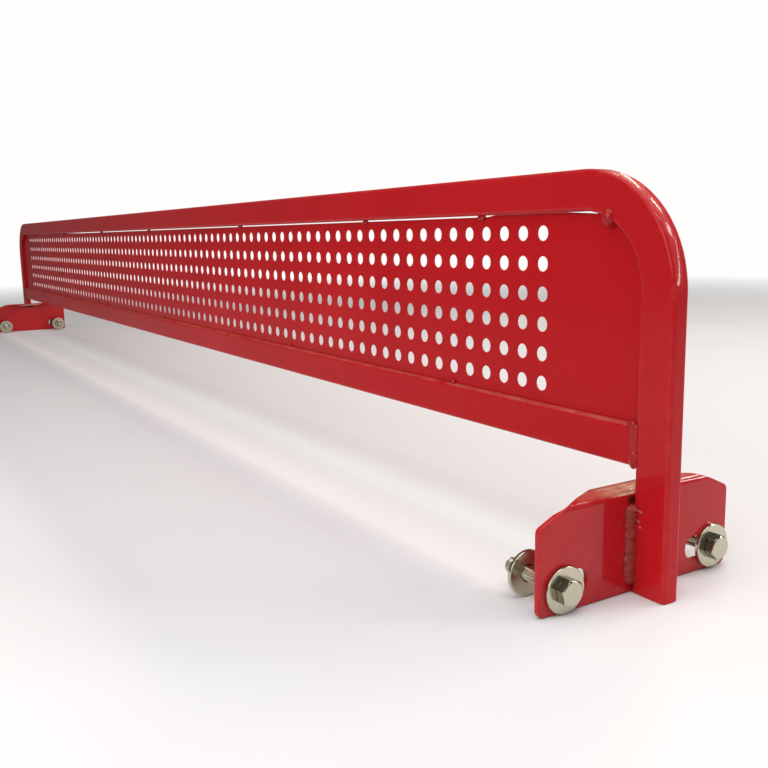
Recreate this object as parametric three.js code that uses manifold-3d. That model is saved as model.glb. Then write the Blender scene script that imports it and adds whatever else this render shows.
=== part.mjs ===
// A clamp-on steel table tennis net: a bent tube frame with a perforated panel, welded to
// two slotted clamp brackets that bolt to the side rails of the table.
//
// Units are millimetres. +X runs along the net, +Y along the table, +Z up. The origin is on
// the tabletop plane, half way across the table, so the net's top edge is at its playing height.

import * as THREE from "three";
import { mergeGeometries, mergeVertices } from "three/addons/utils/BufferGeometryUtils.js";
import Module from "manifold-3d";

// ---- driving dimensions ----

const TABLE_WIDTH = 1525;
const NET_HEIGHT = 152.5;
const TABLE_CLEARANCE = 0.5; // between each bracket and the side of the table
const WELD_GAP = 0.3; // parts that are welded face to face

const TUBE_WIDTH = 20; // in the plane of the net
const TUBE_DEPTH = 10; // across the net
const TUBE_WALL = 1.5;
const TUBE_CORNER = 2;
const BEND_RADIUS = 58; // outside of the frame's bend
const BEND_STEPS = 12;
const RAIL_BOTTOM = 13; // underside of the bottom rail above the tabletop
const POST_BOTTOM = -48.5; // level with the bottom of the brackets

const PANEL_THICKNESS = 1;
const PANEL_TOP_GAP = 1.5; // daylight between the panel and the top rail
const PANEL_SIDE_GAP = 0.4;
const HOLE_PITCH = 15.8;
const HOLE_DIAMETER = 8;
const HOLE_COLUMNS = 89;
const HOLE_ROWS = 6;
const HOLE_SIDES = 4;

const PLATE_THICKNESS = 3;
const PLATE_HALF_WIDTH = 63.5;
const PLATE_CORNER = 3;
const FLANGE_REACH = 10.5; // from the plate's outer face, in over the tabletop
const FLANGE_HALF_WIDTH = 24; // at the flange's inner edge
const BEND_INNER = 2;
const CHAMFER_RUN = 18.2; // along the outside of the bent strip, from the flange's edge
const SLOT_INNER = 33.5;
const SLOT_OUTER = 59;
const SLOT_HEIGHT = 12;
const SLOT_Z = -35.6;

const SHANK_DIAMETER = 8;
const SHANK_LENGTH = 40;
const HEX_ACROSS_FLATS = 11.5;
const HEAD_HEIGHT = 4.5;
const NUT_HEIGHT = 6;
const WASHER_DIAMETER = 22.6;
const WASHER_THICKNESS = 1.8;
const FASTENER_BORE = 8.8;
const CLAMPED_RAIL = 20.5; // side rail of the table, between the bracket and the back washer
const STACK_GAP = 0.3; // between pieces stacked on a bolt

// Where each bolt sits in its slot, and how far its head is turned, in degrees.
const FASTENERS = [
  { name: "right_front", side: 1, y: -48.7, z: -37.2, turn: 43 },
  { name: "right_rear", side: 1, y: 51.6, z: -36.4, turn: 15 },
  { name: "left_front", side: -1, y: -47, z: -37, turn: 22 },
  { name: "left_rear", side: -1, y: 47, z: -37, turn: 46 },
];

// Tack welds along the panel's edges, by their place along X.
const TOP_TACKS = [-645, -415, -185, 25, 295, 515, 645];
const BOTTOM_TACKS = [-617, -424, -186, 60, 390, 617];

// ---- values that follow from them ----

const PLATE_INNER_X = TABLE_WIDTH / 2 + TABLE_CLEARANCE;
const PLATE_OUTER_X = PLATE_INNER_X + PLATE_THICKNESS;
const POST_INNER_X = PLATE_OUTER_X;
const POST_OUTER_X = POST_INNER_X + TUBE_WIDTH;
const RAIL_TOP = RAIL_BOTTOM + TUBE_WIDTH;
const TOP_RAIL_UNDERSIDE = NET_HEIGHT - TUBE_WIDTH;
const BEND_X = POST_OUTER_X - BEND_RADIUS;
const BEND_Z = NET_HEIGHT - BEND_RADIUS;
const PANEL_BOTTOM = RAIL_TOP + WELD_GAP;
const PANEL_TOP = TOP_RAIL_UNDERSIDE - PANEL_TOP_GAP;
const PANEL_MIDDLE = (RAIL_TOP + TOP_RAIL_UNDERSIDE) / 2;
const BEND_OUTER = BEND_INNER + PLATE_THICKNESS;

// ---- materials ----

function paint() {
  return new THREE.MeshStandardMaterial({ color: 0xb01c20, roughness: 0.3, metalness: 0 });
}

function zinc() {
  return new THREE.MeshStandardMaterial({ color: 0xc9c2b0, roughness: 0.35, metalness: 1 });
}

// ---- solids ----

const wasm = await Module();
wasm.setup();

function solidFrom(geometry) {
  const bare = geometry.clone();
  bare.deleteAttribute("normal");
  bare.deleteAttribute("uv");
  const merged = mergeVertices(bare, 1e-4);
  return new wasm.Manifold(
    new wasm.Mesh({
      numProp: 3,
      vertProperties: new Float32Array(merged.attributes.position.array),
      triVerts: new Uint32Array(merged.index.array),
    }),
  );
}

function geometryFrom(solid) {
  const mesh = solid.getMesh();
  const points = [];
  for (let v = 0; v < mesh.vertProperties.length; v += mesh.numProp) {
    points.push(...mesh.vertProperties.slice(v, v + 3));
  }
  const geometry = new THREE.BufferGeometry();
  geometry.setAttribute("position", new THREE.Float32BufferAttribute(points, 3));
  geometry.setIndex(Array.from(mesh.triVerts));
  return geometry;
}

// A closed body through rings of points, each ring turning the same way about its middle.
function loft(rings) {
  const count = rings[0].length;
  const points = rings.flat().flatMap((p) => [p.x, p.y, p.z]);
  const index = [];
  for (let r = 0; r < rings.length - 1; r++) {
    for (let i = 0; i < count; i++) {
      const a = r * count + i;
      const b = r * count + ((i + 1) % count);
      index.push(a, b, b + count, a, b + count, a + count);
    }
  }
  const last = (rings.length - 1) * count;
  for (let i = 1; i < count - 1; i++) {
    index.push(0, i + 1, i);
    index.push(last, last + i, last + i + 1);
  }
  const geometry = new THREE.BufferGeometry();
  geometry.setAttribute("position", new THREE.Float32BufferAttribute(points, 3));
  geometry.setIndex(index);
  return geometry;
}

// A disc, ring or other turned shape about the X axis, from a closed profile of [x, radius].
function turned(profile, steps) {
  const points = profile.map(([x, radius]) => new THREE.Vector2(radius, x));
  points.push(points[0].clone());
  return new THREE.LatheGeometry(points, steps).rotateZ(-Math.PI / 2);
}

function mesh(name, geometry, material) {
  const made = new THREE.Mesh(geometry, material);
  made.name = name;
  return made;
}

// ---- tubes ----

// Outline of the tube's section, as points [in the plane of the net, across the net].
function tubeSection(inset, corner, steps) {
  const halfWidth = TUBE_WIDTH / 2 - inset;
  const halfDepth = TUBE_DEPTH / 2 - inset;
  const section = [];
  for (let quarter = 0; quarter < 4; quarter++) {
    const middle = [
      (quarter === 0 || quarter === 3 ? 1 : -1) * (halfWidth - corner),
      (quarter < 2 ? 1 : -1) * (halfDepth - corner),
    ];
    for (let i = 0; i <= steps; i++) {
      const angle = ((quarter + i / steps) * Math.PI) / 2;
      section.push([middle[0] + corner * Math.cos(angle), middle[1] + corner * Math.sin(angle)]);
    }
  }
  return section;
}

// Stations along the frame's centre line: up the right post, over the bends, down the left one.
function frameStations(extra) {
  const middleX = POST_OUTER_X - TUBE_WIDTH / 2;
  const radius = BEND_RADIUS - TUBE_WIDTH / 2;
  const stations = [{ x: middleX, z: POST_BOTTOM - extra, angle: 0 }];
  for (let i = 0; i <= BEND_STEPS; i++) {
    const angle = ((i / BEND_STEPS) * Math.PI) / 2;
    const x = BEND_X + radius * Math.cos(angle);
    stations.push({ x, z: BEND_Z + radius * Math.sin(angle), angle });
  }
  const mirrored = stations.map((s) => ({ x: -s.x, z: s.z, angle: Math.PI - s.angle }));
  return [...stations, ...mirrored.reverse()];
}

function frameBody(section, extra) {
  const rings = frameStations(extra).map(({ x, z, angle }) =>
    section.map(([across, y]) => {
      const out = new THREE.Vector3(Math.cos(angle), 0, Math.sin(angle));
      return new THREE.Vector3(x, y, z).addScaledVector(out, across);
    }),
  );
  return loft(rings);
}

function straightTube(section, halfLength, middleZ) {
  const ring = (x) => section.map(([across, y]) => new THREE.Vector3(x, y, middleZ - across));
  return loft([ring(-halfLength), ring(halfLength)]);
}

const OUTER_SECTION = tubeSection(0, TUBE_CORNER, 2);
const INNER_SECTION = tubeSection(TUBE_WALL, TUBE_CORNER - TUBE_WALL, 1);
const GROWN_SECTION = tubeSection(-WELD_GAP, TUBE_CORNER + WELD_GAP, 2);
const RAIL_MIDDLE = RAIL_BOTTOM + TUBE_WIDTH / 2;
const RAIL_HALF_LENGTH = POST_INNER_X - WELD_GAP;

function netFrame() {
  const outside = solidFrom(frameBody(OUTER_SECTION, 0));
  const inside = solidFrom(frameBody(INNER_SECTION, 1));
  return geometryFrom(outside.subtract(inside));
}

function bottomRail() {
  const outside = solidFrom(straightTube(OUTER_SECTION, RAIL_HALF_LENGTH, RAIL_MIDDLE));
  const inside = solidFrom(straightTube(INNER_SECTION, RAIL_HALF_LENGTH + 1, RAIL_MIDDLE));
  return geometryFrom(outside.subtract(inside));
}

// ---- perforated panel ----

function perforatedPanel() {
  const side = POST_INNER_X - PANEL_SIDE_GAP;
  const radius = BEND_RADIUS - TUBE_WIDTH - PANEL_SIDE_GAP;
  const topAngle = Math.asin((PANEL_TOP - BEND_Z) / radius);
  const outline = new THREE.Shape();
  outline.moveTo(-side, PANEL_BOTTOM);
  outline.lineTo(side, PANEL_BOTTOM);
  outline.absarc(BEND_X, BEND_Z, radius, 0, topAngle, false);
  outline.absarc(-BEND_X, BEND_Z, radius, Math.PI - topAngle, Math.PI, false);
  const sheet = uprightExtrusion(outline, PANEL_THICKNESS);
  return geometryFrom(solidFrom(sheet).subtract(solidFrom(holeCutters())));
}

// An outline drawn in [x, z], given a thickness along Y with its middle on y = 0.
function uprightExtrusion(outline, thickness) {
  const made = new THREE.ExtrudeGeometry(outline, {
    depth: thickness,
    bevelEnabled: false,
    curveSegments: 8,
  });
  return made.rotateX(Math.PI / 2).translate(0, thickness / 2, 0);
}

// One prism for each hole, with few sides and the area of the round hole.
function holeCutters() {
  const sector = (2 * Math.PI) / HOLE_SIDES;
  const radius = (HOLE_DIAMETER / 2) * Math.sqrt(sector / Math.sin(sector));
  const length = PANEL_THICKNESS + 2;
  const prisms = [];
  for (let row = 0; row < HOLE_ROWS; row++) {
    for (let column = 0; column < HOLE_COLUMNS; column++) {
      const x = (column - (HOLE_COLUMNS - 1) / 2) * HOLE_PITCH;
      const z = PANEL_MIDDLE + (row - (HOLE_ROWS - 1) / 2) * HOLE_PITCH;
      const prism = new THREE.CylinderGeometry(radius, radius, length, HOLE_SIDES);
      prisms.push(prism.translate(x, 0, z));
    }
  }
  return mergeGeometries(prisms);
}

// ---- clamp bracket ----

// Half width of the strip at a distance from the flange's edge, round the outside of the bend.
function stripHalfWidth(distance) {
  const share = Math.min(distance / CHAMFER_RUN, 1);
  return FLANGE_HALF_WIDTH + (PLATE_HALF_WIDTH - FLANGE_HALF_WIDTH) * share;
}

// Stations down the strip from the flange's edge: outer and inner point, and half width.
function stripStations() {
  const stations = [];
  const flat = FLANGE_REACH - BEND_OUTER;
  const edgeX = PLATE_OUTER_X - FLANGE_REACH;
  stations.push({ outer: [edgeX, PLATE_THICKNESS], inner: [edgeX, 0], distance: 0 });
  const middle = [PLATE_OUTER_X - BEND_OUTER, PLATE_THICKNESS - BEND_OUTER];
  const steps = 6;
  for (let i = 0; i <= steps; i++) {
    const angle = ((1 - i / steps) * Math.PI) / 2;
    const point = (radius) => [
      middle[0] + radius * Math.cos(angle),
      middle[1] + radius * Math.sin(angle),
    ];
    const along = flat + BEND_OUTER * (Math.PI / 2 - angle);
    stations.push({ outer: point(BEND_OUTER), inner: point(BEND_INNER), distance: along });
  }
  const bendEnd = stations[stations.length - 1];
  const down = (z) => ({
    outer: [PLATE_OUTER_X, z],
    inner: [PLATE_INNER_X, z],
    distance: bendEnd.distance + bendEnd.outer[1] - z,
  });
  stations.push(down(bendEnd.outer[1] + bendEnd.distance - CHAMFER_RUN));
  const rounding = 3;
  for (let i = 0; i <= rounding; i++) {
    const angle = ((i / rounding) * Math.PI) / 2;
    const station = down(POST_BOTTOM + PLATE_CORNER * (1 - Math.sin(angle)));
    station.inset = PLATE_CORNER * (1 - Math.cos(angle));
    stations.push(station);
  }
  return stations;
}

function clampPlate() {
  const rings = stripStations().map(({ outer, inner, distance, inset = 0 }) => {
    const half = stripHalfWidth(distance) - inset;
    return [
      new THREE.Vector3(outer[0], -half, outer[1]),
      new THREE.Vector3(inner[0], -half, inner[1]),
      new THREE.Vector3(inner[0], half, inner[1]),
      new THREE.Vector3(outer[0], half, outer[1]),
    ];
  });
  let plate = solidFrom(loft(rings));
  for (const side of [-1, 1]) {
    plate = plate.subtract(solidFrom(slotCutter(side)));
  }
  return geometryFrom(plate);
}

function slotCutter(side) {
  const radius = SLOT_HEIGHT / 2;
  const near = side * (SLOT_INNER + radius);
  const far = side * (SLOT_OUTER - radius);
  const [low, high] = [Math.min(near, far), Math.max(near, far)];
  const shape = new THREE.Shape();
  shape.absarc(high, SLOT_Z, radius, -Math.PI / 2, Math.PI / 2, false);
  shape.absarc(low, SLOT_Z, radius, Math.PI / 2, (3 * Math.PI) / 2, false);
  const depth = PLATE_THICKNESS + 2;
  const cutter = new THREE.ExtrudeGeometry(shape, {
    depth,
    bevelEnabled: false,
    curveSegments: 8,
  });
  return onXAxis(cutter).translate(PLATE_INNER_X - 1, 0, 0);
}

// Turns an extrusion drawn in [y, z] and pushed along its own z so that it runs along +X.
function onXAxis(geometry) {
  const turn = new THREE.Matrix4().makeBasis(
    new THREE.Vector3(0, 1, 0),
    new THREE.Vector3(0, 0, 1),
    new THREE.Vector3(1, 0, 0),
  );
  return geometry.applyMatrix4(turn);
}

// ---- welds ----

// Fillet bead down one side of a post, on the bracket's face. Its surface rises and falls.
function postWeld(side) {
  const leg = 5;
  const reach = 4;
  const top = -7;
  const bottom = -43;
  const steps = 14;
  const rings = [];
  for (let i = 0; i <= steps; i++) {
    const share = i / steps;
    const end = Math.min(1, Math.sin(share * Math.PI) * 4 + 0.35);
    const swell = end * (1 + 0.08 * Math.sin(i * 2.4));
    const z = bottom + (top - bottom) * share;
    const corner = new THREE.Vector3(
      PLATE_OUTER_X + WELD_GAP,
      side * (TUBE_DEPTH / 2 + WELD_GAP),
      z,
    );
    const at = (x, y) => corner.clone().add(new THREE.Vector3(x * swell, side * y * swell, 0));
    const ring = [at(0, 0), at(0, leg), at(reach * 0.45, leg * 0.8), at(reach, leg * 0.25)];
    ring.push(at(reach, 0));
    rings.push(side < 0 ? ring : ring.reverse());
  }
  return loft(rings);
}

// Flattened drop of weld metal.
function drop(x, y, z, sizeX, sizeY, sizeZ) {
  return new THREE.SphereGeometry(1, 8, 6).scale(sizeX, sizeY, sizeZ).translate(x, y, z);
}

// Bead over the joint of the bottom rail and a post, on the front or the back of the tubes.
function railEndWeld(side) {
  const depth = 1.3;
  const bead = solidFrom(drop(POST_INNER_X - 1, 0, 0, 3.6, depth * 2, 9));
  const keep = solidFrom(new THREE.BoxGeometry(20, 10, 40).translate(POST_INNER_X, side * 5, 0));
  const half = geometryFrom(bead.intersect(keep));
  return half.translate(0, side * (TUBE_DEPTH / 2 + WELD_GAP), RAIL_MIDDLE + 3);
}

// Drop of weld in the corner between the panel's front and a rail.
function tack(x, z, up) {
  const size = { x: 3, y: 1.6, z: 1.7 };
  const y = -(PANEL_THICKNESS / 2 + WELD_GAP + size.y);
  return drop(x, y, z + up * (size.z + WELD_GAP), size.x, size.y, size.z);
}

// Larger drop in front of the panel, where its top edge runs into the bend.
function cornerWeld() {
  const middle = { x: BEND_X + 16, y: -3.2, z: BEND_Z + 34 };
  const blob = solidFrom(drop(middle.x, middle.y, middle.z, 4.2, 3.4, 4));
  const frame = solidFrom(frameBody(GROWN_SECTION, 0));
  const size = 30;
  const face = -(PANEL_THICKNESS / 2 + WELD_GAP);
  const front = new THREE.BoxGeometry(size, size, size);
  front.translate(middle.x, face - size / 2, middle.z);
  return geometryFrom(blob.subtract(frame).intersect(solidFrom(front)));
}

// ---- fasteners, about the X axis, with x = 0 on the bracket's outer face ----

function hexPrism(height, turn) {
  const shape = new THREE.Shape();
  const radius = HEX_ACROSS_FLATS / Math.sqrt(3);
  for (let i = 0; i < 6; i++) {
    const angle = (i * Math.PI) / 3 + THREE.MathUtils.degToRad(turn);
    const point = [radius * Math.cos(angle), radius * Math.sin(angle)];
    if (i === 0) shape.moveTo(...point);
    else shape.lineTo(...point);
  }
  return onXAxis(new THREE.ExtrudeGeometry(shape, { depth: height, bevelEnabled: false }));
}

// Hexagon with its outer corners turned off, from x = 0 to its height.
function chamferedHex(height, turn, bothEnds) {
  const corner = HEX_ACROSS_FLATS / Math.sqrt(3) + 0.2;
  const flat = HEX_ACROSS_FLATS / 2 - 0.1;
  const fall = 0.9;
  const profile = [[0, 0], [0, bothEnds ? flat : corner]];
  if (bothEnds) profile.push([fall, corner]);
  profile.push([height - fall, corner], [height, flat], [height, 0]);
  const points = profile.map(([x, radius]) => new THREE.Vector2(radius, x));
  const envelope = new THREE.LatheGeometry(points, 24).rotateZ(-Math.PI / 2);
  return solidFrom(hexPrism(height, turn)).intersect(solidFrom(envelope));
}

const FLAT_WASHER_X = STACK_GAP;
const HEAD_X = FLAT_WASHER_X + WASHER_THICKNESS + STACK_GAP;
const BACK_WASHER_X = -(PLATE_THICKNESS + CLAMPED_RAIL + WASHER_THICKNESS);
const NUT_X = BACK_WASHER_X - STACK_GAP - NUT_HEIGHT;

function boltBody(turn) {
  const head = chamferedHex(HEAD_HEIGHT, turn, false);
  const radius = SHANK_DIAMETER / 2;
  const tip = 1;
  const inHead = 0.5;
  const points = [
    [-SHANK_LENGTH, 0],
    [-SHANK_LENGTH, radius - tip],
    [tip - SHANK_LENGTH, radius],
    [inHead, radius],
    [inHead, 0],
  ].map(([x, r]) => new THREE.Vector2(r, x));
  const shank = new THREE.LatheGeometry(points, 16).rotateZ(-Math.PI / 2);
  return geometryFrom(head.add(solidFrom(shank))).translate(HEAD_X, 0, 0);
}

function flatWasher(x) {
  const [bore, rim] = [FASTENER_BORE / 2, WASHER_DIAMETER / 2];
  const [back, front] = [x, x + WASHER_THICKNESS];
  return turned([[back, bore], [back, rim], [front, rim], [front, bore]], 24);
}

function nutBody(turn) {
  const hex = chamferedHex(NUT_HEIGHT, turn, true);
  const radius = FASTENER_BORE / 2;
  const bore = new THREE.CylinderGeometry(radius, radius, NUT_HEIGHT * 3, 16).rotateZ(Math.PI / 2);
  return geometryFrom(hex.subtract(solidFrom(bore))).translate(NUT_X, 0, 0);
}

function fastener({ name, side, y, z, turn }) {
  const group = new THREE.Group();
  group.position.set(side * PLATE_OUTER_X, y, z);
  if (side < 0) group.rotation.z = Math.PI;
  group.add(
    mesh(`hex_bolt_${name}`, boltBody(turn), zinc()),
    mesh(`flat_washer_${name}`, flatWasher(FLAT_WASHER_X), zinc()),
    mesh(`back_washer_${name}`, flatWasher(BACK_WASHER_X), zinc()),
    mesh(`hex_nut_${name}`, nutBody(turn + 17), zinc()),
  );
  return group;
}

// ---- the whole net ----

const net = new THREE.Group();
net.add(
  mesh("net_frame", netFrame(), paint()),
  mesh("bottom_rail", bottomRail(), paint()),
  mesh("perforated_panel", perforatedPanel(), paint()),
);

// Everything on an end of the net is made for the right end and turned half round for the left.
for (const [name, turn] of [["right", 0], ["left", Math.PI]]) {
  const end = new THREE.Group();
  end.rotation.z = turn;
  const [front, back] = turn === 0 ? ["front", "rear"] : ["rear", "front"];
  end.add(
    mesh(`clamp_plate_${name}`, clampPlate(), paint()),
    mesh(`post_weld_${name}_${front}`, postWeld(-1), paint()),
    mesh(`post_weld_${name}_${back}`, postWeld(1), paint()),
    mesh(`rail_end_weld_${name}_${front}`, railEndWeld(-1), paint()),
    mesh(`rail_end_weld_${name}_${back}`, railEndWeld(1), paint()),
  );
  net.add(end);
}

net.add(mesh("corner_weld_right", cornerWeld(), paint()));
const leftCorner = mesh("corner_weld_left", mirroredInX(cornerWeld()), paint());
net.add(leftCorner);

function mirroredInX(geometry) {
  const made = geometry.clone().scale(-1, 1, 1);
  const index = Array.from(made.index.array);
  for (let i = 0; i < index.length; i += 3) {
    [index[i + 1], index[i + 2]] = [index[i + 2], index[i + 1]];
  }
  made.setIndex(index);
  return made;
}

TOP_TACKS.forEach((x, i) => {
  net.add(mesh(`top_tack_weld_${i + 1}`, tack(x, TOP_RAIL_UNDERSIDE, -1), paint()));
});
BOTTOM_TACKS.forEach((x, i) => {
  net.add(mesh(`bottom_tack_weld_${i + 1}`, tack(x, RAIL_TOP, 1), paint()));
});

for (const place of FASTENERS) {
  net.add(fastener(place));
}

export default net;
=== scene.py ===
# Looks of a steel table tennis net: a bent tube frame with a perforated panel, welded to two
# slotted clamp brackets, with the bolts that hold them to the table's side rails.
#
# Lengths are in metres, in the part's own frame: +X along the net, +Y along the table, +Z up,
# with the origin on the plane of the tabletop.

import math
import random

import bmesh
import bpy
from mathutils import Matrix, Vector, noise


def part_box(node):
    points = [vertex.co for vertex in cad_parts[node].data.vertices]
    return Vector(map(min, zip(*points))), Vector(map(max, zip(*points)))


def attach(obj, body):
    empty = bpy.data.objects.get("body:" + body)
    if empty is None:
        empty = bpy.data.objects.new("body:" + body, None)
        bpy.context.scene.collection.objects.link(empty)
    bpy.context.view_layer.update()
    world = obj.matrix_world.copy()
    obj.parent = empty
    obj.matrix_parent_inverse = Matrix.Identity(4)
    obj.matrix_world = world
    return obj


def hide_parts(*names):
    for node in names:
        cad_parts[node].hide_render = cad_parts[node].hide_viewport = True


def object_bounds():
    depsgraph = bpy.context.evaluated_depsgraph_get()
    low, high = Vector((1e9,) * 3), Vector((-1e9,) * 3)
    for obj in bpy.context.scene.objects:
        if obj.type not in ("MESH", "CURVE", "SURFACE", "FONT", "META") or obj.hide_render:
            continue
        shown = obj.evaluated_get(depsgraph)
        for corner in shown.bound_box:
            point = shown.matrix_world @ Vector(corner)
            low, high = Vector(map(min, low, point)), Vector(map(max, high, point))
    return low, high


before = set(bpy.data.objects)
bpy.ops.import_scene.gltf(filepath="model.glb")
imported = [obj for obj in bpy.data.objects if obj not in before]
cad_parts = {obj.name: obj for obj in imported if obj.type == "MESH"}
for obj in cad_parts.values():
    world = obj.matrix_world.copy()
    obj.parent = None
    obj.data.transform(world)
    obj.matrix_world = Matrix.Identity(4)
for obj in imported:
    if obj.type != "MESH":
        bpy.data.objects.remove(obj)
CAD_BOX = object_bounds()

MM = 0.001
SAME_PLACE = 1e-7
SAME_LINE = 1e-6
TOUCHING = 0.02 * MM

# How sharply two faces meet, in degrees, before the edge between them is drawn crisp.
CRISP_SHEET = 38
CRISP_WELD = 80
CRISP_HEX = 24

# ---- sizes: the CAD nodes' boxes, and the few driving dimensions that a box doesn't show ----

FRAME_LOW, FRAME_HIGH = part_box("net_frame")
RAIL_LOW, RAIL_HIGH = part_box("bottom_rail")
PANEL_LOW, PANEL_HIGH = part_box("perforated_panel")
PLATE_LOW, PLATE_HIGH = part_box("clamp_plate_right")

TUBE_WIDTH = RAIL_HIGH.z - RAIL_LOW.z
TUBE_DEPTH = FRAME_HIGH.y - FRAME_LOW.y
TUBE_WALL = 1.5 * MM
TUBE_CORNER = 2 * MM
TUBE_FLAT_STEPS = 8
TUBE_CORNER_STEPS = 6
CUT_EASE = 0.25 * MM
NEAR_END = 1.5 * MM  # extra station by each cut end, which keeps wear from spreading inwards
BEND_RADIUS = 58 * MM
BEND_SINK = 0.55 * MM
BEND_FOLD = 0.25 * MM
BEND_FLAT_SHARE = 0.85
POST_INNER_X = FRAME_HIGH.x - TUBE_WIDTH
BEND_X = FRAME_HIGH.x - BEND_RADIUS
BEND_Z = FRAME_HIGH.z - BEND_RADIUS

HOLE_PITCH = 15.8 * MM
HOLE_RADIUS = 4 * MM
HOLE_COLUMNS = 89
HOLE_ROWS = 6
HOLE_STEPS = 24
HOLE_EASE = 0.32 * MM

# The panel's top edge stands clear of the top rail, and comes closer to it in two stretches.
PANEL_TOP_RISE = 0.6 * MM
PANEL_CLOSER = 0.8 * MM
NEAR_STRETCH = (650 * MM, 721 * MM)
NEAR_STRETCH_RAMPS = (5 * MM, 8 * MM)
FAR_STRETCH = -300 * MM
FAR_STRETCH_RAMP = 100 * MM
TOP_CORNER_STOPS = (728 * MM, 721 * MM, 713 * MM)

PLATE_THICKNESS = PLATE_HIGH.z
FLANGE_HALF_WIDTH = 24 * MM
CHAMFER_RUN = 18.2 * MM
PLATE_BEND = 5 * MM
PLATE_EDGE = 0.6 * MM
SLOT_INNER = 33.5 * MM
SLOT_OUTER = 59 * MM
SLOT_HEIGHT = 12 * MM
SLOT_Z = -35.6 * MM

HEX_ACROSS_FLATS = 11.5 * MM
HEX_CORNER = 0.7 * MM
HEX_CORNER_STEPS = 4
HEX_FACE_STEPS = 6
HEX_CHAMFER = 0.25 * MM
HEX_CHAMFER_STEPS = 7
HEX_EASE = 0.12 * MM
HEAD_HEIGHT = 4.5 * MM
COLLAR_RADIUS = 5.3 * MM
SHANK_RADIUS = 3.92 * MM
NECK_LENGTH = 1.5 * MM
POINT_LENGTH = 1 * MM
THREAD_PITCH = 1.25 * MM
THREAD_DEPTH = 0.65 * MM
THREAD_STEPS = 8
NUT_RADIUS = 4.08 * MM
NUT_LEAD_IN = 0.6 * MM
BORE_RADIUS = 4.4 * MM
WASHER_ROLLED = 0.5 * MM
WASHER_CRISP = 0.15 * MM
WASHER_STEPS = 120

FASTENERS = ("right_front", "right_rear", "left_front", "left_rear")
ENDS = (("right", 1), ("left", -1))
SIDES = (("front", -1), ("rear", 1))


# ---- mesh helpers ----

def arc_steps(start, end, steps):
    """Evenly spaced values from start to end, both included."""
    return [start + (end - start) * i / steps for i in range(steps + 1)]


def held(share):
    """A share kept between 0 and 1."""
    return min(1, max(0, share))


def rounded_outline(corners, inset, steps):
    """Points round a convex outline with corners (u, v, radius), moved inwards by inset."""
    points = []
    for i, (u, v, radius) in enumerate(corners):
        before = Vector(corners[i - 1][:2])
        corner = Vector((u, v))
        after = Vector(corners[(i + 1) % len(corners)][:2])
        come, go = (corner - before).normalized(), (after - corner).normalized()
        into = Vector((-come.y, come.x)), Vector((-go.y, go.x))
        middle = corner + (into[0] + into[1]) * radius / (1 + into[0].dot(into[1]))
        start = math.atan2(-into[0].y, -into[0].x)
        turn = math.acos(max(-1, min(1, into[0].dot(into[1]))))
        for angle in arc_steps(start, start + turn, steps):
            point = middle + Vector((math.cos(angle), math.sin(angle))) * (radius - inset)
            if not points or (point - points[-1]).length > SAME_PLACE:
                points.append(point)
    if (points[0] - points[-1]).length < SAME_PLACE:
        points.pop()
    return points


def with_flats(outline, corner_steps, flat_steps):
    """A rounded outline with its flats divided, where each corner has the same steps."""
    points = []
    for i, point in enumerate(outline):
        points.append(point)
        if i % (corner_steps + 1) == corner_steps:
            following = outline[(i + 1) % len(outline)]
            points += [point.lerp(following, k / flat_steps) for k in range(1, flat_steps)]
    return points


def bridge(bm, rings, closed=False):
    """Quads between neighbouring rings of vertices."""
    pairs = list(zip(rings, rings[1:]))
    if closed:
        pairs.append((rings[-1], rings[0]))
    for low, high in pairs:
        for i in range(len(low)):
            k = (i + 1) % len(low)
            bm.faces.new((low[i], low[k], high[k], high[i]))


def add_ring(bm, points):
    return [bm.verts.new(p) for p in points]


def ring_edges(bm, ring):
    return [bm.edges.get((ring[i - 1], ring[i])) for i in range(len(ring))]


def edge_profile(radius, thickness, steps):
    """Rounded edge of a sheet as (inset, depth), from its front face over its side to its back."""
    front = [
        (radius * (1 - math.sin(a)), radius * (1 - math.cos(a)))
        for a in arc_steps(0, math.pi / 2, steps)
    ]
    return front + [(inset, thickness - depth) for inset, depth in reversed(front)]


def store_edges(mesh, bm, worn):
    """Keeps how sharply the surface turns at each vertex, from 0 to 1, for wear along edges."""
    bm.normal_update()
    full_turn = math.radians(45)
    turns = []
    for vertex in bm.verts:
        angles = [e.calc_face_angle(0) for e in vertex.link_edges]
        turns.append(worn * min(1, max(angles, default=0) / full_turn))
    layer = mesh.attributes.new("edge", "FLOAT", "POINT")
    layer.data.foreach_set("value", turns)


def make_piece(name, bm, material, body, nodes, matrix=None, sharp=CRISP_SHEET, worn=1):
    """Turns a bmesh into a shaded object that stands for CAD nodes and rides on a body."""
    bmesh.ops.recalc_face_normals(bm, faces=bm.faces)
    bm.verts.index_update()
    mesh = bpy.data.meshes.new(name)
    bm.to_mesh(mesh)
    store_edges(mesh, bm, worn)
    bm.free()
    mesh.polygons.foreach_set("use_smooth", [True] * len(mesh.polygons))
    mesh.set_sharp_from_angle(angle=math.radians(sharp))
    mesh.materials.append(material)
    made = bpy.data.objects.new(name, mesh)
    bpy.context.scene.collection.objects.link(made)
    even = made.modifiers.new("even_normals", "WEIGHTED_NORMAL")
    even.keep_sharp = True
    if matrix is not None:
        made.matrix_world = matrix
    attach(made, body)
    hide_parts(*nodes)
    return made


# ---- materials ----

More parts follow.
